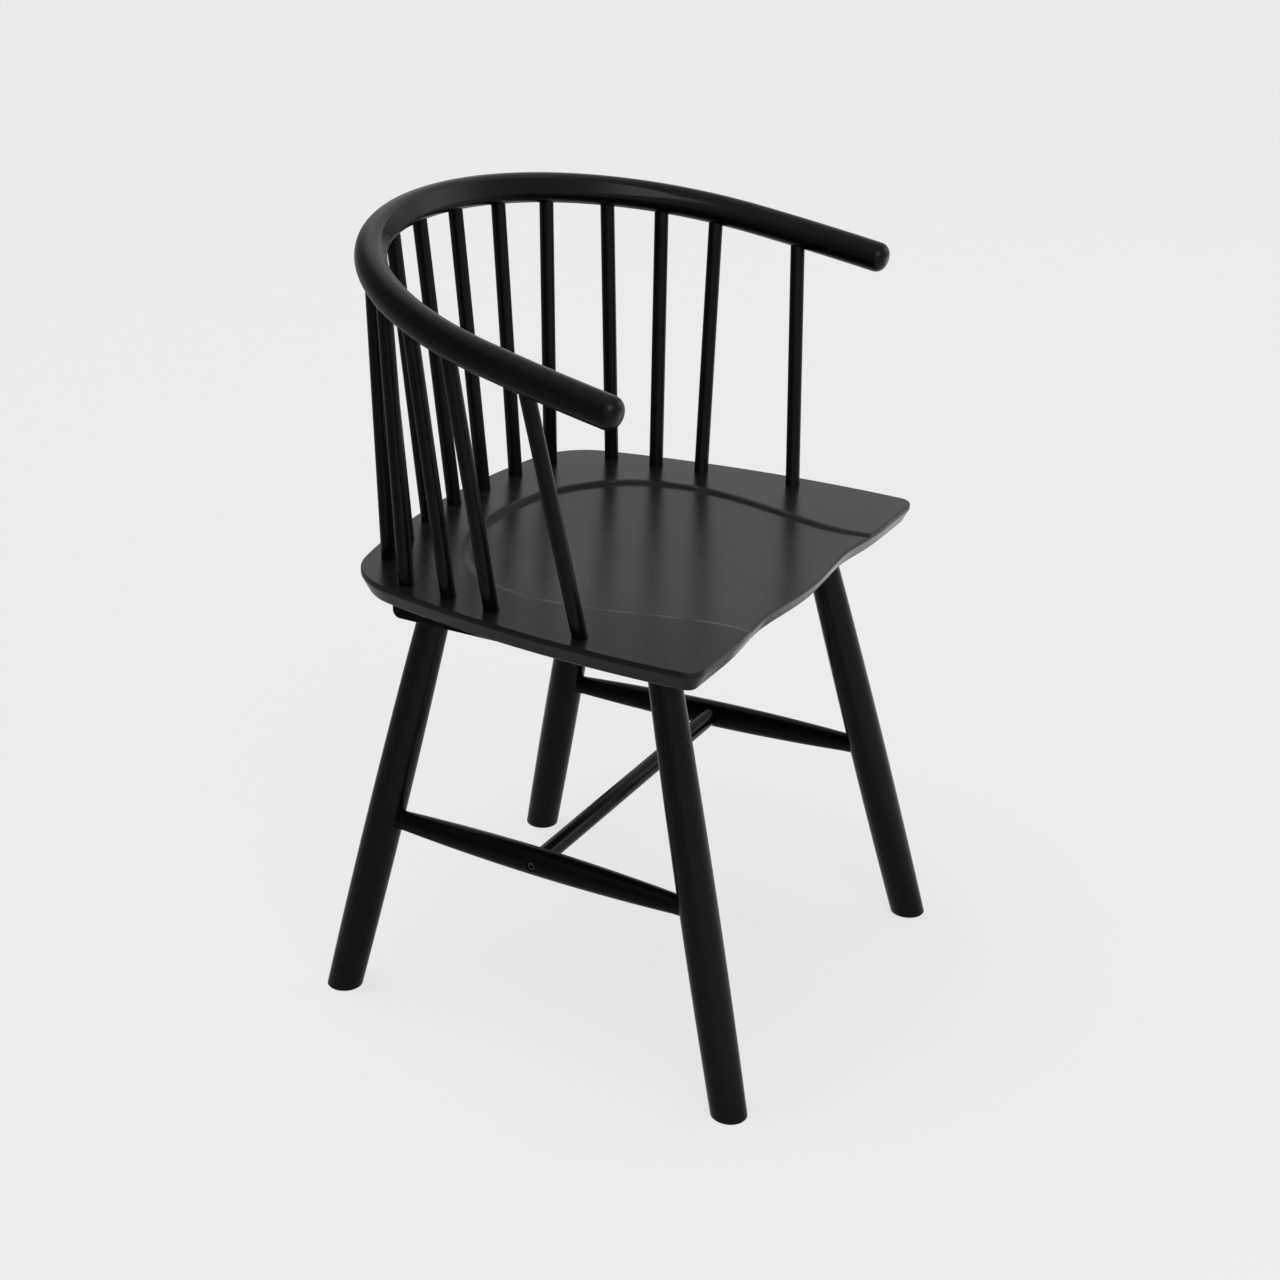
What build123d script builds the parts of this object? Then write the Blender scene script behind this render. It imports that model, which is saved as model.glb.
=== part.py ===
"""Wooden armchair with a low bow back: seat, battens, splayed legs, stretchers, spindles and bow.

Millimetres. +Z is up and the chair faces -Y. Left is at -X, as seen by someone who faces the chair.
The origin is on the floor, under the middle of the whole chair.
"""
from build123d import *
import math
import os

# Seat panel: an upright lip at the top of its edge, and a bevel from there to the underside
SEAT_HEIGHT = 440.0
SEAT_THICKNESS = 20.0
SEAT_HALF_WIDTH = 244.0
SEAT_WIDEST_Y = -124.0
SEAT_SIDE_RADIUS = 1100.0
SEAT_FRONT_Y = -192.5
SEAT_BACK_Y = 207.5
SEAT_BACK_RADIUS = 740.0
SEAT_FRONT_CORNER = 16.0
SEAT_REAR_CORNER = 72.0
SEAT_LIP = 5.0
SEAT_BEVEL_INSET = 7.8
SEAT_TOP_ROUND = 1.2
SEAT_UNDER_ROUND = 3.0

# Wave of the seat's front edge, seen from above
THIGH_RECESS = 6.0
THIGH_RECESS_X = 92.0
FRONT_SHOULDER_X = 172.0

# Scoop carved into the seat's top and open to the front
SCOOP_MOUTH_INSET = 105.0
SCOOP_WAIST_INSET = 109.0
SCOOP_WAIST_Y = -154.0
SCOOP_FLANK_INSET = 96.0
SCOOP_FLANK_Y = -97.0
SCOOP_WIDEST_INSET = 77.5
SCOOP_WIDEST_Y = -2.0
SCOOP_SHOULDER_INSET = 94.0
SCOOP_SHOULDER_Y = 74.0
SCOOP_TURN_INSET = 151.0
SCOOP_TURN_Y = 126.5
SCOOP_BACK_Y = 145.5
SCOOP_EASE_DEPTH = 0.8
SCOOP_EASE_RUN = 4.0
SCOOP_WALL_RUN = 2.0
SCOOP_FRONT_DEPTH = 1.8
SCOOP_FRONT_RISE = 1.0
SCOOP_MIDDLE_DEPTH = 5.5
SCOOP_MIDDLE_RISE = 5.4
SCOOP_BACK_DEPTH = 3.5
SCOOP_BACK_RISE = 2.0
SCOOP_MARGIN = 8.0

# Bow: a round rail bent in one tilted plane, half round at the back and almost straight along the arms
BOW_DIAMETER = 29.3
BOW_SIDE_OVERHANG = 24.2
BOW_BACK_OVERHANG = 22.1
BOW_BACK_RISE = 289.8
BOW_TILT = 9.87
BOW_BACK_HALF_TURN = 82.4
BOW_ARM_RADIUS = 1350.0
BOW_ARM_LENGTH = 125.0
BOW_END_ROUND = 11.0

# Comfort flat milled round the inner upper side of the bow's back, running out towards the arms
FLAT_RISE = 30.0
FLAT_DEPTH = 2.4
FLAT_AXIS_SHIFT = 4.7

# Spindles: one at the back, pairs beside it, a group at each side and one under each arm
SPINDLE_DIAMETER = 14.0
BACK_BASE_INSET = 16.3
BACK_BASE_RADIUS = 535.0
BACK_BASE_PITCH = 51.2
BACK_TOP_PITCH = 55.6
BACK_PAIRS = 3
SIDE_BASE_INSET = 48.1
SIDE_BASE_SETBACK = 85.1
SIDE_BASE_ANGLE = 7.5
SIDE_BASE_PITCH = 48.4
SIDE_TOP_PITCH = 55.4
SIDE_SPINDLES = 3
CORNER_TOP_GAP = 64.0
ARM_BASE_GAP = 96.6
ARM_TOP_GAP = 85.2
SEAT_SOCKET_FLOOR = 6.0
BOW_SOCKET_PAST_CENTRE = 3.0

# Battens
BATTEN_THICKNESS = 20.0
BATTEN_WIDTH = 52.0
BATTEN_INSET = 81.0
BATTEN_OVERHANG = 25.5
BATTEN_END_ROUND = 8.0
BATTEN_EDGE_ROUND = 1.5

# Legs: their tops in from the seat's edges, and their splay from there to the floor
FRONT_LEG_INSET = 76.2
FRONT_LEG_SETBACK = 68.3
FRONT_SPLAY_X = 46.5
FRONT_SPLAY_Y = 103.2
REAR_LEG_INSET = 89.3
REAR_LEG_SETBACK = 90.5
REAR_SPLAY_X = 41.2
REAR_SPLAY_Y = 82.4
LEG_FOOT_DIAMETER = 33.2
LEG_BELLY_DIAMETER = 35.4
LEG_TOP_DIAMETER = 29.2
LEG_TENON_DIAMETER = 22.0
LEG_FOOT_EASE = 1.2
LEG_TRIM = 10.0

# Stretchers
STRETCHER_HEIGHT = 187.0
SIDE_STRETCHER_MIDDLE = 26.7
SIDE_STRETCHER_END = 18.7
SIDE_STRETCHER_TENON = 24.0
CROSS_STRETCHER_DIAMETER = 17.6
CROSS_SOCKET_DEPTH = 7.0

# Fasteners
BOLT_DIAMETER = 5.0
BOLT_HEAD_DIAMETER = 8.5
BOLT_HEAD_HEIGHT = 5.0
BOLT_HEAD_EDGE = 0.5
BOLT_KEY_SIZE = 4.0
BOLT_KEY_DEPTH = 2.5
HEAD_SINK = 2.0
INSERT_DIAMETER = 8.5
STRETCHER_INSERT_LENGTH = 16.0
SEAT_INSERT_LENGTH = 11.0
SEAT_BOLT_SPREAD = 110.0

# Fits, on the radius or at the end of a hole
GLUE_GAP = 0.05
BOLT_GAP = 0.25
HEAD_GAP = 0.4
END_GAP = 0.5

# Worked out from the sizes above
SIDES = {"left": -1, "right": 1}
SEAT_BOTTOM = SEAT_HEIGHT - SEAT_THICKNESS
BOW_BACK_RADIUS = SEAT_HALF_WIDTH + BOW_SIDE_OVERHANG
BOW_BACK_Y = SEAT_BACK_Y + BOW_BACK_OVERHANG
BOW_BACK_Z = SEAT_HEIGHT + BOW_BACK_RISE
BOW_ARM_TURN = math.degrees(BOW_ARM_LENGTH / BOW_ARM_RADIUS)
FRONT_LEG_TOP_X = SEAT_HALF_WIDTH - FRONT_LEG_INSET
FRONT_LEG_TOP_Y = SEAT_FRONT_Y + FRONT_LEG_SETBACK
REAR_LEG_TOP_X = SEAT_HALF_WIDTH - REAR_LEG_INSET
REAR_LEG_TOP_Y = SEAT_BACK_Y - REAR_LEG_SETBACK
BATTEN_X = SEAT_HALF_WIDTH - BATTEN_INSET
BATTEN_BOTTOM = SEAT_BOTTOM - BATTEN_THICKNESS
BATTEN_FRONT_Y = FRONT_LEG_TOP_Y - BATTEN_OVERHANG
BATTEN_REAR_Y = REAR_LEG_TOP_Y + BATTEN_OVERHANG
BATTEN_MIDDLE_Y = (BATTEN_FRONT_Y + BATTEN_REAR_Y) / 2
BACK_BASE_Y = SEAT_BACK_Y - BACK_BASE_INSET
SIDE_BASE_X = SEAT_HALF_WIDTH - SIDE_BASE_INSET
SIDE_BASE_Y = SEAT_BACK_Y - SIDE_BASE_SETBACK
SEAT_SOCKET_DEPTH = SEAT_THICKNESS - SEAT_SOCKET_FLOOR
COUNTERBORE_DEPTH = BOLT_HEAD_HEIGHT + HEAD_SINK
SEAT_BOLT_LENGTH = BATTEN_THICKNESS - COUNTERBORE_DEPTH + SEAT_INSERT_LENGTH
STRETCHER_WEB = SIDE_STRETCHER_MIDDLE - CROSS_SOCKET_DEPTH - COUNTERBORE_DEPTH
STRETCHER_BOLT_LENGTH = STRETCHER_WEB + STRETCHER_INSERT_LENGTH

os.makedirs("parts", exist_ok=True)


def save(part, name):
    """Labels a finished piece and writes it under its own name."""
    part.label = name
    export_step(part, f"parts/{name}.step")


def lathe_plane(start, end):
    """Plane through an axis for a turned profile: radius along local X, length along local Y."""
    axis = (end - start).normalized()
    radius = axis.cross(Vector(1, 0, 0)).normalized()
    return Plane(origin=start, x_dir=radius, z_dir=radius.cross(axis))


# Bow centre line: its plane, and the end of the back arc and the centre of the right arm's arc in that plane
bow_plane = Plane(origin=(0, BOW_BACK_Y, BOW_BACK_Z)).rotated((BOW_TILT, 0, 0))
back_turn = math.radians(BOW_BACK_HALF_TURN)
back_length = back_turn * BOW_BACK_RADIUS
arm_centre_x = (BOW_BACK_RADIUS - BOW_ARM_RADIUS) * math.sin(back_turn)
arm_centre_y = (BOW_BACK_RADIUS - BOW_ARM_RADIUS) * math.cos(back_turn) - BOW_BACK_RADIUS


def bow_point(distance):
    """Point on the bow's centre line, by its distance from the middle of the back towards the right arm."""
    reach = abs(distance)
    if reach <= back_length:
        angle = reach / BOW_BACK_RADIUS
        x = BOW_BACK_RADIUS * math.sin(angle)
        y = BOW_BACK_RADIUS * (math.cos(angle) - 1)
    else:
        angle = back_turn + (reach - back_length) / BOW_ARM_RADIUS
        x = arm_centre_x + BOW_ARM_RADIUS * math.sin(angle)
        y = arm_centre_y + BOW_ARM_RADIUS * math.cos(angle)
    return bow_plane.from_local_coords(Vector(math.copysign(x, distance), y, 0))


def spindle_axes():
    """Base on the seat's top and end on the bow's centre line of each spindle, from left arm to right arm."""
    half = []
    for step in range(1, BACK_PAIRS + 1):
        angle = step * BACK_BASE_PITCH / BACK_BASE_RADIUS
        x = BACK_BASE_RADIUS * math.sin(angle)
        y = BACK_BASE_Y - BACK_BASE_RADIUS * (1 - math.cos(angle))
        half.append((x, y, step * BACK_TOP_PITCH))
    runs = [step * SIDE_BASE_PITCH for step in range(SIDE_SPINDLES)]
    tops = [half[-1][2] + CORNER_TOP_GAP + step * SIDE_TOP_PITCH for step in range(SIDE_SPINDLES)]
    runs.append(runs[-1] + ARM_BASE_GAP)
    tops.append(tops[-1] + ARM_TOP_GAP)
    lean = math.radians(SIDE_BASE_ANGLE)
    for run, top in zip(runs, tops):
        half.append((SIDE_BASE_X + run * math.sin(lean), SIDE_BASE_Y - run * math.cos(lean), top))
    left = [(-x, y, -top) for x, y, top in reversed(half)]
    places = left + [(0, BACK_BASE_Y, 0)] + half
    return [(Vector(x, y, SEAT_HEIGHT), bow_point(top)) for x, y, top in places]


def leg_axis(end, side):
    """Foot on the floor and top at the batten's underside of a leg."""
    if end == "front":
        top = Vector(side * FRONT_LEG_TOP_X, FRONT_LEG_TOP_Y, BATTEN_BOTTOM)
        return top + Vector(side * FRONT_SPLAY_X, -FRONT_SPLAY_Y, -BATTEN_BOTTOM), top
    top = Vector(side * REAR_LEG_TOP_X, REAR_LEG_TOP_Y, BATTEN_BOTTOM)
    return top + Vector(side * REAR_SPLAY_X, REAR_SPLAY_Y, -BATTEN_BOTTOM), top


def stretcher_joint(end, side):
    """Point where a side stretcher's axis meets a leg's axis."""
    foot, top = leg_axis(end, side)
    return foot + (top - foot) * (STRETCHER_HEIGHT / BATTEN_BOTTOM)


def stretcher_plane(side, outward):
    """Plane across the bolt's axis of a side stretcher, facing out, at a distance out from its middle."""
    middle = (stretcher_joint("rear", side) + stretcher_joint("front", side)) / 2
    return Plane(origin=middle + Vector(side * outward, 0, 0), x_dir=(0, 1, 0), z_dir=(side, 0, 0))


def facing_back(plane):
    """The same plane, facing the other way."""
    return Plane(origin=plane.origin, x_dir=plane.x_dir, z_dir=-plane.z_dir)


def bolts(head_planes, length):
    """Socket head bolts, each with its head on a plane and its shank behind that plane."""
    with BuildPart() as group:
        with BuildSketch(*head_planes):
            Circle(BOLT_HEAD_DIAMETER / 2)
        extrude(amount=BOLT_HEAD_HEIGHT - BOLT_HEAD_EDGE)
        with BuildSketch(*[plane.offset(BOLT_HEAD_HEIGHT - BOLT_HEAD_EDGE) for plane in head_planes]):
            Circle(BOLT_HEAD_DIAMETER / 2)
        extrude(amount=BOLT_HEAD_EDGE, taper=45)
        with BuildSketch(*head_planes):
            Circle(BOLT_DIAMETER / 2)
        extrude(amount=-length)
        with BuildSketch(*[plane.offset(BOLT_HEAD_HEIGHT) for plane in head_planes]):
            RegularPolygon(BOLT_KEY_SIZE / 2, 6, major_radius=False)
        extrude(amount=-BOLT_KEY_DEPTH, mode=Mode.SUBTRACT)
    return group.part


def inserts(mouth_planes, length):
    """Threaded sleeves, each with its mouth on a plane and its body in front of that plane."""
    with BuildPart() as group:
        with BuildSketch(*mouth_planes):
            Circle(INSERT_DIAMETER / 2)
            Circle(BOLT_DIAMETER / 2 + GLUE_GAP, mode=Mode.SUBTRACT)
        extrude(amount=length)
    return group.part


# Spindles
spindles = spindle_axes()
for number, (base, top) in enumerate(spindles, start=1):
    along = (top - base).normalized()
    with BuildPart() as spindle:
        with BuildSketch(Plane(origin=base - along * (SEAT_SOCKET_DEPTH - END_GAP), z_dir=along)):
            Circle(SPINDLE_DIAMETER / 2)
        extrude(amount=SEAT_SOCKET_DEPTH - END_GAP + (top - base).length + BOW_SOCKET_PAST_CENTRE)
    save(spindle.part, f"spindle_{number:02d}")

# Bow
with BuildLine(bow_plane) as bow_path:
    CenterArc((-arm_centre_x, arm_centre_y), BOW_ARM_RADIUS, 90 + BOW_BACK_HALF_TURN, BOW_ARM_TURN)
    CenterArc((0, -BOW_BACK_RADIUS), BOW_BACK_RADIUS, 90 - BOW_BACK_HALF_TURN, 2 * BOW_BACK_HALF_TURN)
    CenterArc((arm_centre_x, arm_centre_y), BOW_ARM_RADIUS, 90 - BOW_BACK_HALF_TURN, -BOW_ARM_TURN)
flat_distance = BOW_DIAMETER / 2 - FLAT_DEPTH
flat_angle = math.radians(180 - FLAT_RISE)
flat_centre = bow_plane.from_local_coords(Vector(0, FLAT_AXIS_SHIFT - BOW_BACK_RADIUS, 0))
bow_wire = bow_path.wire()
bow_ends = [(bow_wire @ 0, -(bow_wire % 0)), (bow_wire @ 1, bow_wire % 1)]
with BuildPart() as bow:
    with BuildSketch(Plane(origin=bow_wire @ 0, z_dir=bow_wire % 0)):
        Circle(BOW_DIAMETER / 2)
    sweep(path=bow_wire)
    for end, way in bow_ends:
        with BuildSketch(lathe_plane(end, end + way)):
            with BuildLine():
                rounding = CenterArc((BOW_DIAMETER / 2 - BOW_END_ROUND, 0), BOW_END_ROUND, 0, 90)
                Polyline(rounding @ 1, (0, BOW_END_ROUND), (0, 0), rounding @ 0)
            make_face()
        revolve(axis=Axis(end, way))
    with BuildSketch(Plane(origin=bow_plane.origin, x_dir=bow_plane.y_dir, z_dir=bow_plane.x_dir)):
        with Locations((flat_distance * math.cos(flat_angle), flat_distance * math.sin(flat_angle))):
            Rectangle(BOW_DIAMETER, BOW_DIAMETER, 180 - FLAT_RISE, align=(Align.MIN, Align.CENTER))
    revolve(axis=Axis(flat_centre, bow_plane.z_dir), mode=Mode.SUBTRACT)
    for base, top in spindles:
        along = (top - base).normalized()
        with BuildSketch(Plane(origin=top + along * (BOW_SOCKET_PAST_CENTRE + END_GAP), z_dir=-along)):
            Circle(SPINDLE_DIAMETER / 2 + GLUE_GAP)
        extrude(amount=BOW_DIAMETER, mode=Mode.SUBTRACT)
save(bow.part, "bow")


def scoop_outline(inset):
    """Edge of the scoop from the left of its mouth, round the back, to the right, moved in by an inset."""
    slant = inset * math.sqrt(0.5)
    side = SEAT_HALF_WIDTH - inset
    corner = SEAT_HALF_WIDTH - slant
    half = [
        (side - SCOOP_MOUTH_INSET, SEAT_FRONT_Y - SCOOP_MARGIN),
        (side - SCOOP_WAIST_INSET, SCOOP_WAIST_Y),
        (side - SCOOP_FLANK_INSET, SCOOP_FLANK_Y),
        (side - SCOOP_WIDEST_INSET, SCOOP_WIDEST_Y),
        (corner - SCOOP_SHOULDER_INSET, SCOOP_SHOULDER_Y - slant),
        (corner - SCOOP_TURN_INSET, SCOOP_TURN_Y - slant),
    ]
    left = [(-x, y) for x, y in half]
    return left + [(0, SCOOP_BACK_Y - inset)] + half[::-1]


# Scoop: an eased edge and sloping walls inside it, above a dished floor
wall_stations = [
    (SCOOP_MARGIN / 2, -SCOOP_EASE_RUN * SCOOP_MARGIN / 2),
    (-SCOOP_EASE_DEPTH, SCOOP_EASE_RUN * SCOOP_EASE_DEPTH),
    (-SCOOP_MARGIN, SCOOP_EASE_RUN * SCOOP_EASE_DEPTH + SCOOP_WALL_RUN * (SCOOP_MARGIN - SCOOP_EASE_DEPTH)),
]
dish_stations = [
    (SEAT_FRONT_Y - 2 * SCOOP_MARGIN, SCOOP_FRONT_DEPTH, SCOOP_FRONT_RISE),
    (SCOOP_WIDEST_Y, SCOOP_MIDDLE_DEPTH, SCOOP_MIDDLE_RISE),
    (SCOOP_BACK_Y + SCOOP_MARGIN, SCOOP_BACK_DEPTH, SCOOP_BACK_RISE),
]
with BuildPart() as scoop:
    for height, inset in wall_stations:
        with BuildSketch(Plane.XY.offset(SEAT_HEIGHT + height)):
            with BuildLine():
                edge = Spline(*scoop_outline(inset))
                Line(edge @ 1, edge @ 0)
            make_face()
    loft(ruled=True)
    for y, depth, rise in dish_stations:
        with BuildSketch(Plane(origin=(0, y, SEAT_HEIGHT), x_dir=(1, 0, 0), z_dir=(0, -1, 0))):
            with BuildLine():
                ends = [(SEAT_HALF_WIDTH, rise - depth), (-SEAT_HALF_WIDTH, rise - depth)]
                ThreePointArc(ends[1], (0, -depth), ends[0])
                Polyline(ends[0], (SEAT_HALF_WIDTH, SCOOP_MARGIN), (-SEAT_HALF_WIDTH, SCOOP_MARGIN), ends[1])
            make_face()
    loft(mode=Mode.INTERSECT)

# Seat
seat_sockets = []
for base, top in spindles:
    along = (top - base).normalized()
    seat_sockets.append(Plane(origin=base - along * SEAT_SOCKET_DEPTH, z_dir=along))
seat_bolt_places = []
for side in SIDES.values():
    for offset in (-SEAT_BOLT_SPREAD / 2, SEAT_BOLT_SPREAD / 2):
        seat_bolt_places.append((side * BATTEN_X, BATTEN_MIDDLE_Y + offset))
insert_planes = [Plane(origin=(x, y, SEAT_BOTTOM)) for x, y in seat_bolt_places]
with BuildPart() as seat:
    with BuildSketch(Plane.XY.offset(SEAT_HEIGHT)) as seat_outline:
        with Locations((SEAT_HALF_WIDTH - SEAT_SIDE_RADIUS, SEAT_WIDEST_Y)):
            Circle(SEAT_SIDE_RADIUS)
        with Locations((SEAT_SIDE_RADIUS - SEAT_HALF_WIDTH, SEAT_WIDEST_Y)):
            Circle(SEAT_SIDE_RADIUS, mode=Mode.INTERSECT)
        with Locations((0, SEAT_BACK_Y - SEAT_BACK_RADIUS)):
            Circle(SEAT_BACK_RADIUS, mode=Mode.INTERSECT)
        with BuildLine():
            wave = Spline(
                (-FRONT_SHOULDER_X, SEAT_FRONT_Y),
                (-THIGH_RECESS_X, SEAT_FRONT_Y + THIGH_RECESS),
                (0, SEAT_FRONT_Y),
                (THIGH_RECESS_X, SEAT_FRONT_Y + THIGH_RECESS),
                (FRONT_SHOULDER_X, SEAT_FRONT_Y),
                tangents=((1, 0), (1, 0)),
            )
            Polyline(
                wave @ 1,
                (SEAT_SIDE_RADIUS, SEAT_FRONT_Y),
                (SEAT_SIDE_RADIUS, SEAT_SIDE_RADIUS),
                (-SEAT_SIDE_RADIUS, SEAT_SIDE_RADIUS),
                (-SEAT_SIDE_RADIUS, SEAT_FRONT_Y),
                wave @ 0,
            )
        make_face(mode=Mode.INTERSECT)
        fillet(seat_outline.vertices().group_by(Axis.Y)[-1], SEAT_REAR_CORNER)
        fillet(seat_outline.vertices().group_by(SortBy.DISTANCE)[-1], SEAT_FRONT_CORNER)
    extrude(amount=-SEAT_THICKNESS)
    underside = seat.faces().sort_by(Axis.Z)[0]
    chamfer(underside.edges(), SEAT_BEVEL_INSET, SEAT_THICKNESS - SEAT_LIP, reference=underside)
    fillet(seat.faces().sort_by(Axis.Z)[0].edges(), SEAT_UNDER_ROUND)
    add(scoop.part, mode=Mode.SUBTRACT)
    lip_bottom = SEAT_HEIGHT - SEAT_LIP + GLUE_GAP
    lips = seat.faces().filter_by(lambda face: round(face.normal_at().Z, 3) == 0)
    lip_tops = lips.edges().filter_by(lambda edge: edge.bounding_box().min.Z > lip_bottom)
    fillet(lip_tops.filter_by(lambda edge: edge.bounding_box().size.Z < SEAT_TOP_ROUND), SEAT_TOP_ROUND)
    with BuildSketch(*seat_sockets):
        Circle(SPINDLE_DIAMETER / 2 + GLUE_GAP)
    extrude(amount=SEAT_THICKNESS, mode=Mode.SUBTRACT)
    with BuildSketch(*insert_planes):
        Circle(INSERT_DIAMETER / 2 + GLUE_GAP)
    extrude(amount=SEAT_INSERT_LENGTH + END_GAP, mode=Mode.SUBTRACT)
save(seat.part, "seat")
save(inserts(insert_planes, SEAT_INSERT_LENGTH), "seat_inserts")

# Battens
for name, side in SIDES.items():
    tenon_planes = []
    for end in ("front", "rear"):
        foot, top = leg_axis(end, side)
        tenon_planes.append(Plane(origin=top, z_dir=top - foot))
    bolt_places = [(x, y) for x, y in seat_bolt_places if x * side > 0]
    with BuildPart() as batten:
        with BuildSketch(Plane.XY.offset(BATTEN_BOTTOM)):
            with Locations((side * BATTEN_X, BATTEN_MIDDLE_Y)):
                Rectangle(BATTEN_WIDTH, BATTEN_REAR_Y - BATTEN_FRONT_Y)
        extrude(amount=BATTEN_THICKNESS)
        bottom = batten.faces().sort_by(Axis.Z)[0]
        fillet(bottom.edges().filter_by(Axis.X), BATTEN_END_ROUND)
        flanks = batten.faces().filter_by(Axis.X).edges()
        below = flanks.filter_by(lambda edge: edge.center().Z < SEAT_BOTTOM - BATTEN_EDGE_ROUND)
        fillet(below, BATTEN_EDGE_ROUND)
        with BuildSketch(*tenon_planes):
            Circle(LEG_TENON_DIAMETER / 2 + GLUE_GAP)
        extrude(amount=2 * BATTEN_THICKNESS, both=True, mode=Mode.SUBTRACT)
        with BuildSketch(Plane.XY.offset(BATTEN_BOTTOM)):
            with Locations(*bolt_places):
                Circle(BOLT_HEAD_DIAMETER / 2 + HEAD_GAP)
        extrude(amount=COUNTERBORE_DEPTH, mode=Mode.SUBTRACT)
        with BuildSketch(Plane.XY.offset(BATTEN_BOTTOM)):
            with Locations(*bolt_places):
                Circle(BOLT_DIAMETER / 2 + BOLT_GAP)
        extrude(amount=BATTEN_THICKNESS, mode=Mode.SUBTRACT)
    save(batten.part, f"{name}_batten")
seat_heads = [
    Plane(origin=(x, y, BATTEN_BOTTOM + COUNTERBORE_DEPTH), z_dir=(0, 0, -1)) for x, y in seat_bolt_places
]
save(bolts(seat_heads, SEAT_BOLT_LENGTH), "seat_bolts")

# Legs
for end, other in (("front", "rear"), ("rear", "front")):
    for name, side in SIDES.items():
        foot, top = leg_axis(end, side)
        length = (top - foot).length
        joint = stretcher_joint(end, side)
        towards = (stretcher_joint(other, side) - joint).normalized()
        with BuildPart() as leg:
            with BuildSketch(lathe_plane(foot, top)):
                with BuildLine():
                    swell = Spline(
                        (LEG_FOOT_DIAMETER / 2, -LEG_TRIM),
                        (LEG_BELLY_DIAMETER / 2, length / 2),
                        (LEG_TOP_DIAMETER / 2, length + LEG_TRIM),
                    )
                    Polyline(swell @ 1, (0, length + LEG_TRIM), (0, -LEG_TRIM), swell @ 0)
                make_face()
            revolve(axis=Axis(foot, top - foot))
            split(bisect_by=Plane.XY.offset(BATTEN_BOTTOM), keep=Keep.BOTTOM)
            with BuildSketch(Plane(origin=top, z_dir=top - foot)):
                Circle(LEG_TENON_DIAMETER / 2)
            extrude(amount=2 * BATTEN_THICKNESS, both=True)
            split(bisect_by=Plane.XY.offset(SEAT_BOTTOM - END_GAP), keep=Keep.BOTTOM)
            split(bisect_by=Plane.XY, keep=Keep.TOP)
            chamfer(leg.edges().group_by(Axis.Z)[0], LEG_FOOT_EASE)
            with BuildSketch(Plane(origin=joint - towards * END_GAP, z_dir=towards)):
                Circle(SIDE_STRETCHER_END / 2 + GLUE_GAP)
            extrude(amount=LEG_BELLY_DIAMETER, mode=Mode.SUBTRACT)
        save(leg.part, f"{end}_{name}_leg")

# Side stretchers
for name, side in SIDES.items():
    rear = stretcher_joint("rear", side)
    front = stretcher_joint("front", side)
    length = (front - rear).length
    head_plane = stretcher_plane(side, SIDE_STRETCHER_MIDDLE / 2 - COUNTERBORE_DEPTH)
    socket_plane = stretcher_plane(side, CROSS_SOCKET_DEPTH - SIDE_STRETCHER_MIDDLE / 2)
    with BuildPart() as side_stretcher:
        with BuildSketch(lathe_plane(rear, front)):
            with BuildLine():
                swell = ThreePointArc(
                    (SIDE_STRETCHER_END / 2, SIDE_STRETCHER_TENON),
                    (SIDE_STRETCHER_MIDDLE / 2, length / 2),
                    (SIDE_STRETCHER_END / 2, length - SIDE_STRETCHER_TENON),
                )
                Polyline(
                    swell @ 1,
                    (SIDE_STRETCHER_END / 2, length),
                    (0, length),
                    (0, 0),
                    (SIDE_STRETCHER_END / 2, 0),
                    swell @ 0,
                )
            make_face()
        revolve(axis=Axis(rear, front - rear))
        with BuildSketch(facing_back(socket_plane)):
            Circle(CROSS_STRETCHER_DIAMETER / 2 + GLUE_GAP)
        extrude(amount=SIDE_STRETCHER_MIDDLE, mode=Mode.SUBTRACT)
        with BuildSketch(head_plane):
            Circle(BOLT_HEAD_DIAMETER / 2 + HEAD_GAP)
        extrude(amount=SIDE_STRETCHER_MIDDLE, mode=Mode.SUBTRACT)
        with BuildSketch(head_plane):
            Circle(BOLT_DIAMETER / 2 + BOLT_GAP)
        extrude(amount=-SIDE_STRETCHER_MIDDLE, mode=Mode.SUBTRACT)
    save(side_stretcher.part, f"{name}_side_stretcher")

# Cross stretcher, with its bolts and inserts
stretcher_heads = []
cross_ends = []
for side in SIDES.values():
    stretcher_heads.append(stretcher_plane(side, SIDE_STRETCHER_MIDDLE / 2 - COUNTERBORE_DEPTH))
    cross_ends.append(facing_back(stretcher_plane(side, CROSS_SOCKET_DEPTH - SIDE_STRETCHER_MIDDLE / 2)))
with BuildPart() as cross_stretcher:
    with BuildSketch(cross_ends[0]):
        Circle(CROSS_STRETCHER_DIAMETER / 2)
    extrude(amount=(cross_ends[1].origin - cross_ends[0].origin).length)
    with BuildSketch(*cross_ends):
        Circle(INSERT_DIAMETER / 2 + GLUE_GAP)
    extrude(amount=STRETCHER_INSERT_LENGTH + END_GAP, mode=Mode.SUBTRACT)
save(cross_stretcher.part, "cross_stretcher")
save(inserts(cross_ends, STRETCHER_INSERT_LENGTH), "stretcher_inserts")
save(bolts(stretcher_heads, STRETCHER_BOLT_LENGTH), "stretcher_bolts")
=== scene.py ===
"""Look of the black lacquered spindle armchair: lacquer over grain, studio light, floor and camera."""
import bpy
import math
from mathutils import Matrix, Vector

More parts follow.
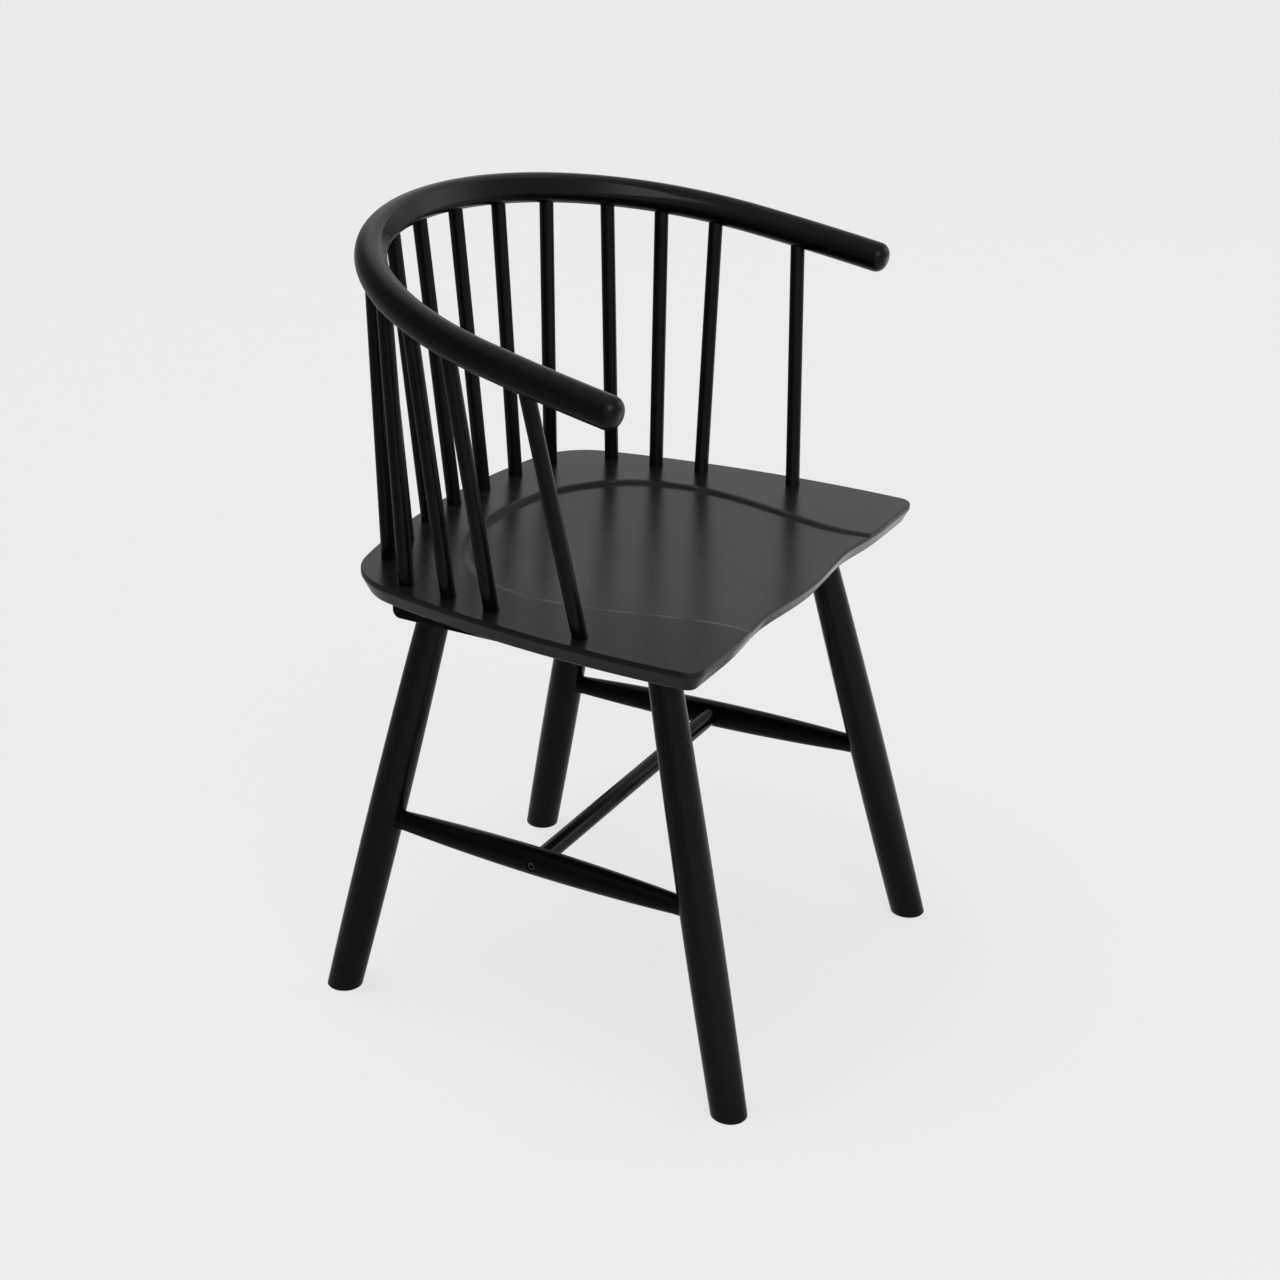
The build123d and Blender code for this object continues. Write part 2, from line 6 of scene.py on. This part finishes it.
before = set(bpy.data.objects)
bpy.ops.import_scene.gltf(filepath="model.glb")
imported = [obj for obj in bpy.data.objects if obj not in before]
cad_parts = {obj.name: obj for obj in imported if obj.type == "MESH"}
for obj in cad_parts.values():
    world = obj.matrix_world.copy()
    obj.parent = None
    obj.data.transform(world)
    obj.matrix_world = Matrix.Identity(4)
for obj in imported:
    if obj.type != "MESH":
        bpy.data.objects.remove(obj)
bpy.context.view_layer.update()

# Sizes repeated from the part, in metres
BOW_BACK = Vector((0.0, 0.2296, 0.7298))
BOW_TILT = math.radians(9.87)
BOW_BACK_RADIUS = 0.2682
BATTEN_BOTTOM = 0.4
LEGS = {
    "front": ((0.2143, -0.2274), (0.1678, -0.1242)),
    "rear": ((0.1959, 0.1994), (0.1547, 0.1170)),
}
SPINDLES = 15

# Softened look of the seat's edges: where the scoop's part ends at the sides, front and rear, and both radii
SCOOP_SIDE = (0.175, 0.2)
SCOOP_FRONT = (-0.185, -0.165)
SCOOP_REAR = (0.155, 0.175)
OUTER_ROUNDING = 0.0012
SCOOP_ROUNDING = 0.004

# Grain: coordinates along the fibres are squeezed by a share, and along the bow to a length per radian
FIBRE_SQUEEZE = 0.96
BOW_RADIAN = 0.011

# Noises: scale, detail and, where it isn't the usual half, roughness
FINE_FIBRES = (900.0, 3.0, 0.6)
BROAD_FIBRES = (140.0, 4.0, 0.55)
CLOUDS = (9.0, 3.0)
ORANGE_PEEL = (700.0, 1.0)
STEEL_SPOTS = (600.0, 3.0)
STEEL_RINGS = (2500.0, 1.0)
NOISE_RANGE = (0.3, 0.7)

# Lacquer: how fibres, clouds and worn edges change its tone and gloss, and how deep its relief is in metres
FINE_SHARE = 0.55
BROAD_SHARE = 0.45
FIBRE_TONE = (0.72, 1.28)
CLOUD_TONE = (0.85, 1.15)
EDGE_RANGE = (0.52, 0.6)
EDGE_TONE = 0.6
BLUE_TINT = 1.03
FIBRE_GLOSS = 0.025
CLOUD_GLOSS = 0.03
PORE_DEPTH = 0.000012
SEAT_PORE_DEPTH = 0.000005
PEEL_DEPTH = 0.000012
LACQUER_RELIEF = 0.35

# Steel: how spots change its tone and rings its gloss, and how deep the rings are in metres
SPOT_TONE = (0.75, 1.25)
RING_GLOSS = 0.08
RING_DEPTH = 0.00005
STEEL_RELIEF = 0.2

# Camera, solved from the photo
CAMERA_PLACE = (-2.0062, -1.0334, 1.3301)
CAMERA_AZIMUTH = math.radians(-63.092)
CAMERA_ELEVATION = math.radians(23.726)
CAMERA_ROLL = math.radians(1.548)
FOCAL_PIXELS = 2573.96
PHOTO_PIXELS = 1280.0
SENSOR_WIDTH = 36.0
CLIP_END = 60.0

# Grey of the photo's backdrop, as linear light, and soft light from all sides
BACKDROP = 0.83
SOFT_LIGHT = 0.35

# The backdrop's dim side, in reflections only: its direction, its levels and the range over which it fades
DIM_WAY = (-0.35, 0.93, -0.1)
DIM_LEVELS = (1.0, 0.2)
DIM_RANGE = (0.22, 0.52)

# Floor: its reach, its share of shadow, and its dim side and the shade round the chair, in reflections only
FLOOR_REACH = 14.0
FLOOR_LEVEL = 0.99
FLOOR_GREY = 0.8
SHADOW_SHARE = 0.14
FLOOR_LIGHT_WAY = (0.5, -0.9, 0.0)
FLOOR_LEVELS = (0.35, 1.2)
FLOOR_RANGE = (-0.8, 0.26)
CHAIR_LEVELS = (0.65, 1.0)
CHAIR_RANGE = (0.35, 0.65)

# Wide light from above
OVERHEAD_POWER = 2.4
OVERHEAD_SPREAD = math.radians(75.0)
OVERHEAD_TURN = (math.radians(-20.0), math.radians(-12.0), 0.0)


class Nodes:
    """Small helper that adds shader nodes to one tree and links them."""

    def __init__(self, tree):
        self.tree = tree
        tree.nodes.clear()

    def add(self, kind, **inputs):
        node = self.tree.nodes.new(kind)
        for key, value in inputs.items():
            self.put(node, key.replace("_", " "), value)
        return node

    def put(self, node, key, value):
        socket = node.inputs[int(key)] if key.isdigit() else node.inputs[key]
        if isinstance(value, bpy.types.NodeSocket):
            self.tree.links.new(value, socket)
        else:
            socket.default_value = value

    def math(self, operation, *values):
        node = self.tree.nodes.new("ShaderNodeMath")
        node.operation = operation
        for index, value in enumerate(values):
            self.put(node, str(index), value)
        return node.outputs[0]

    def vector(self, operation, *values):
        node = self.tree.nodes.new("ShaderNodeVectorMath")
        node.operation = operation
        for index, value in enumerate(values):
            self.put(node, "Scale" if operation == "SCALE" and index == 1 else str(index), value)
        return node.outputs["Value" if operation in ("DOT_PRODUCT", "LENGTH") else "Vector"]

    def noise(self, vector, scale, detail, roughness=0.5):
        node = self.add("ShaderNodeTexNoise", Vector=vector, Scale=scale, Detail=detail, Roughness=roughness)
        return node.outputs["Fac"]

    def ramp(self, value, low, high, start=0.0, end=1.0):
        """Low at the start of a range of values, high at its end, and even in between."""
        node = self.tree.nodes.new("ShaderNodeMapRange")
        self.put(node, "Value", value)
        self.put(node, "From Min", start)
        self.put(node, "From Max", end)
        self.put(node, "To Min", low)
        self.put(node, "To Max", high)
        return node.outputs["Result"]

    def mix(self, share, first, second):
        node = self.add("ShaderNodeMixShader", Fac=share)
        self.put(node, "1", first.outputs[0])
        self.put(node, "2", second.outputs[0])
        return node

    def output(self, kind, shader):
        self.put(self.add(kind), "Surface", shader.outputs[0])

    def seen_directly(self):
        """One for rays from the camera, from a gloss or through glass, and nought for rays of soft light."""
        rays = self.add("ShaderNodeLightPath").outputs
        either = self.math("MAXIMUM", rays["Is Camera Ray"], rays["Is Glossy Ray"])
        return self.math("MAXIMUM", either, rays["Is Transmission Ray"])

    def in_gloss(self, level):
        """A level for rays from a gloss, and one for all other rays."""
        gloss = self.add("ShaderNodeLightPath").outputs["Is Glossy Ray"]
        return self.math("ADD", self.math("MULTIPLY", gloss, level), self.math("SUBTRACT", 1.0, gloss))


def grey(value):
    return (value, value, value, 1.0)


def new_material(name):
    material = bpy.data.materials.new(name)
    material.use_nodes = True
    return material, Nodes(material.node_tree)


def straight_grain(axis):
    """Gives coordinates squeezed along an axis, so that noise becomes long fibres along it."""
    axis = Vector(axis).normalized()

    def grain(n):
        place = n.add("ShaderNodeTexCoord").outputs["Object"]
        run = n.vector("DOT_PRODUCT", place, tuple(axis))
        return n.vector("ADD", place, n.vector("SCALE", tuple(axis), n.math("MULTIPLY", run, -FIBRE_SQUEEZE)))

    return grain


def bent_grain(n):
    """Coordinates that follow the bow's bend: along it, across it and up."""
    place = n.add("ShaderNodeTexCoord").outputs["Object"]
    local = n.vector("SUBTRACT", place, tuple(BOW_BACK))
    up = Vector((0, -math.sin(BOW_TILT), math.cos(BOW_TILT)))
    back = Vector((0, math.cos(BOW_TILT), math.sin(BOW_TILT)))
    x = n.vector("DOT_PRODUCT", local, (1, 0, 0))
    y = n.math("ADD", n.vector("DOT_PRODUCT", local, tuple(back)), BOW_BACK_RADIUS)
    z = n.vector("DOT_PRODUCT", local, tuple(up))
    angle = n.math("ARCTAN2", x, y)
    radius = n.math("SQRT", n.math("ADD", n.math("MULTIPLY", x, x), n.math("MULTIPLY", y, y)))
    joined = n.add("ShaderNodeCombineXYZ", X=n.math("MULTIPLY", angle, BOW_RADIAN), Y=radius, Z=z)
    return joined.outputs["Vector"]


def seat_rounding(n):
    """Radius by which edges look softened: larger round the scoop than along the seat's outer edge."""
    place = n.add("ShaderNodeSeparateXYZ", Vector=n.add("ShaderNodeTexCoord").outputs["Object"]).outputs
    aside = n.ramp(n.math("ABSOLUTE", place["X"]), 1.0, 0.0, *SCOOP_SIDE)
    ahead = n.ramp(place["Y"], 0.0, 1.0, *SCOOP_FRONT)
    astern = n.ramp(place["Y"], 1.0, 0.0, *SCOOP_REAR)
    in_scoop = n.math("MULTIPLY", aside, n.math("MULTIPLY", ahead, astern))
    return n.ramp(in_scoop, OUTER_ROUNDING, SCOOP_ROUNDING)


def lacquer(name, grain, tone, index, sheen, pores=PORE_DEPTH, rounding=None):
    """Satin black lacquer over wood: a little grain shows through in colour, gloss and relief."""
    material, n = new_material(name)
    fibre = grain(n)
    place = n.add("ShaderNodeTexCoord").outputs["Object"]
    fine = n.noise(fibre, *FINE_FIBRES)
    broad = n.noise(fibre, *BROAD_FIBRES)
    cloud = n.noise(place, *CLOUDS)
    orange_peel = n.noise(place, *ORANGE_PEEL)
    streak = n.math("ADD", n.math("MULTIPLY", fine, FINE_SHARE), n.math("MULTIPLY", broad, BROAD_SHARE))
    fibre_tone = n.ramp(streak, *FIBRE_TONE, *NOISE_RANGE)
    cloud_tone = n.ramp(cloud, *CLOUD_TONE, *NOISE_RANGE)
    shade = n.math("MULTIPLY", fibre_tone, cloud_tone)
    wear = n.add("ShaderNodeNewGeometry").outputs["Pointiness"]
    edge = n.ramp(wear, 0.0, 1.0, *EDGE_RANGE)
    value = n.math("ADD", n.math("MULTIPLY", shade, tone), n.math("MULTIPLY", edge, tone * EDGE_TONE))
    blue = n.math("MULTIPLY", value, BLUE_TINT)
    colour = n.add("ShaderNodeCombineColor", Red=value, Green=value, Blue=blue)
    dull = n.ramp(streak, sheen - FIBRE_GLOSS, sheen + FIBRE_GLOSS, *NOISE_RANGE)
    gloss = n.math("ADD", dull, n.ramp(cloud, -CLOUD_GLOSS, CLOUD_GLOSS, *NOISE_RANGE))
    relief = n.math("ADD", n.math("MULTIPLY", streak, pores), n.math("MULTIPLY", orange_peel, PEEL_DEPTH))
    bump = n.add("ShaderNodeBump", Strength=LACQUER_RELIEF, Distance=1.0, Height=relief)
    if rounding:
        n.put(bump, "Normal", n.add("ShaderNodeBevel", Radius=rounding(n)).outputs[0])
    shader = n.add(
        "ShaderNodeBsdfPrincipled",
        Base_Color=colour.outputs[0],
        Roughness=gloss,
        IOR=index,
        Normal=bump.outputs[0],
    )
    n.output("ShaderNodeOutputMaterial", shader)
    return material


def steel(name, tone, gloss):
    """Turned steel: fine rings of gloss and slight spots of tone."""
    material, n = new_material(name)
    place = n.add("ShaderNodeTexCoord").outputs["Object"]
    spots = n.noise(place, *STEEL_SPOTS)
    rings = n.noise(place, *STEEL_RINGS)
    darkest, lightest = (tone * share for share in SPOT_TONE)
    value = n.ramp(spots, darkest, lightest, *NOISE_RANGE)
    colour = n.add("ShaderNodeCombineColor", Red=value, Green=value, Blue=value)
    relief = n.math("MULTIPLY", rings, RING_DEPTH)
    bump = n.add("ShaderNodeBump", Strength=STEEL_RELIEF, Distance=1.0, Height=relief)
    shader = n.add(
        "ShaderNodeBsdfPrincipled",
        Base_Color=colour.outputs[0],
        Metallic=1.0,
        Roughness=n.ramp(rings, gloss - RING_GLOSS, gloss + RING_GLOSS, *NOISE_RANGE),
        Normal=bump.outputs[0],
    )
    n.output("ShaderNodeOutputMaterial", shader)
    return material


def paint(node, material):
    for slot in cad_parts[node].material_slots:
        slot.material = material


def softbox(name, place, target, size, power):
    """Square area light that faces a target."""
    light = bpy.data.lights.new(name, "AREA")
    light.shape = "SQUARE"
    light.size = size
    light.energy = power
    lamp = bpy.data.objects.new(name, light)
    aim = Vector(target) - Vector(place)
    lamp.rotation_euler = aim.to_track_quat("-Z", "Y").to_euler()
    lamp.location = place
    bpy.context.collection.objects.link(lamp)


# Materials. The one black lacquer gets a different tone on each part as painted light and shade: lightest on
# the seat, darkest on spindles and rails
seat_look = lacquer(
    "seat_look",
    straight_grain((0, 1, 0)),
    tone=0.004,
    index=1.28,
    sheen=0.26,
    pores=SEAT_PORE_DEPTH,
    rounding=seat_rounding,
)
paint("seat", seat_look)
paint("bow", lacquer("bow_look", bent_grain, tone=0.002, index=1.22, sheen=0.26))
spindle_look = lacquer("spindle_look", straight_grain((0, 0, 1)), tone=0.0015, index=1.2, sheen=0.22)
for number in range(1, SPINDLES + 1):
    paint(f"spindle_{number:02d}", spindle_look)
for end, (foot, top) in LEGS.items():
    for side, sign in (("left", -1), ("right", 1)):
        name = f"{end}_{side}_leg"
        run = Vector((sign * top[0], top[1], BATTEN_BOTTOM)) - Vector((sign * foot[0], foot[1], 0.0))
        paint(name, lacquer(f"{name}_look", straight_grain(run), tone=0.0025, index=1.22, sheen=0.22))
rail_look = lacquer("side_rail_look", straight_grain((0, 1, 0)), tone=0.0015, index=1.17, sheen=0.22)
for name in ("left_side_stretcher", "right_side_stretcher", "left_batten", "right_batten"):
    paint(name, rail_look)
cross_look = lacquer("cross_look", straight_grain((1, 0, 0)), tone=0.0015, index=1.17, sheen=0.22)
paint("cross_stretcher", cross_look)
for name in ("seat_bolts", "stretcher_bolts"):
    paint(name, steel(f"{name}_look", tone=0.06, gloss=0.4))
for name in ("seat_inserts", "stretcher_inserts"):
    paint(name, steel(f"{name}_look", tone=0.5, gloss=0.35))

# Camera at the photo's place
back = Vector((
    math.sin(CAMERA_AZIMUTH) * math.cos(CAMERA_ELEVATION),
    -math.cos(CAMERA_AZIMUTH) * math.cos(CAMERA_ELEVATION),
    math.sin(CAMERA_ELEVATION),
))
right = Vector((math.cos(CAMERA_AZIMUTH), math.sin(CAMERA_AZIMUTH), 0.0))
up = back.cross(right)
camera_right = right * math.cos(CAMERA_ROLL) + up * math.sin(CAMERA_ROLL)
camera_up = up * math.cos(CAMERA_ROLL) - right * math.sin(CAMERA_ROLL)
lens = bpy.data.cameras.new("photo_camera")
lens.sensor_width = SENSOR_WIDTH
lens.lens = SENSOR_WIDTH * FOCAL_PIXELS / PHOTO_PIXELS
lens.clip_end = CLIP_END
camera = bpy.data.objects.new("photo_camera", lens)
turn = Matrix((camera_right, camera_up, back)).transposed()
camera.matrix_world = Matrix.Translation(CAMERA_PLACE) @ turn.to_4x4()
bpy.context.collection.objects.link(camera)
bpy.context.scene.camera = camera

# Floor: the backdrop's grey for the camera and, partly dimmed, in reflections, with a soft shadow
corners = [(x * FLOOR_REACH, y * FLOOR_REACH, 0.0) for x, y in ((-1, -1), (1, -1), (1, 1), (-1, 1))]
floor_mesh = bpy.data.meshes.new("floor")
floor_mesh.from_pydata(corners, [], [(0, 1, 2, 3)])
floor = bpy.data.objects.new("floor", floor_mesh)
bpy.context.collection.objects.link(floor)
floor_look, n = new_material("floor_look")
place = n.add("ShaderNodeNewGeometry").outputs["Position"]
dim_side = n.ramp(n.vector("DOT_PRODUCT", place, FLOOR_LIGHT_WAY), *FLOOR_LEVELS, *FLOOR_RANGE)
near_chair = n.ramp(n.vector("LENGTH", place), *CHAIR_LEVELS, *CHAIR_RANGE)
level = n.math("MULTIPLY", n.in_gloss(n.math("MULTIPLY", dim_side, near_chair)), FLOOR_LEVEL)
plain = n.add("ShaderNodeEmission", Color=grey(BACKDROP), Strength=level)
cloth = n.add("ShaderNodeBsdfDiffuse", Color=grey(FLOOR_GREY))
shaded = n.mix(SHADOW_SHARE, plain, cloth)
n.output("ShaderNodeOutputMaterial", n.mix(n.seen_directly(), cloth, shaded))
floor_mesh.materials.append(floor_look)

# World: the same grey for the camera and, dimmer behind the chair's left, in reflections, and soft light
world = bpy.data.worlds.new("studio")
bpy.context.scene.world = world
world.use_nodes = True
n = Nodes(world.node_tree)
soft = n.add("ShaderNodeBackground", Color=grey(1.0), Strength=SOFT_LIGHT)
way = n.add("ShaderNodeTexCoord").outputs["Generated"]
dim_side = n.ramp(n.vector("DOT_PRODUCT", way, DIM_WAY), *DIM_LEVELS, *DIM_RANGE)
plain = n.add("ShaderNodeBackground", Color=grey(BACKDROP), Strength=n.in_gloss(dim_side))
n.output("ShaderNodeOutputWorld", n.mix(n.seen_directly(), soft, plain))

# Lights: a wide one from above that no gloss shows, and two softboxes
overhead = bpy.data.lights.new("overhead", "SUN")
overhead.energy = OVERHEAD_POWER
overhead.angle = OVERHEAD_SPREAD
overhead_lamp = bpy.data.objects.new("overhead", overhead)
overhead_lamp.rotation_euler = OVERHEAD_TURN
overhead_lamp.visible_glossy = False
bpy.context.collection.objects.link(overhead_lamp)
softbox("right_box", place=(2.2, -1.8, 1.6), target=(0.0, 0.0, 0.4), size=1.4, power=10.0)
softbox("front_box", place=(-1.2, -1.3, 2.1), target=(0.15, 0.15, 0.7), size=1.2, power=17.0)

# View settings
bpy.context.scene.view_settings.view_transform = "Standard"
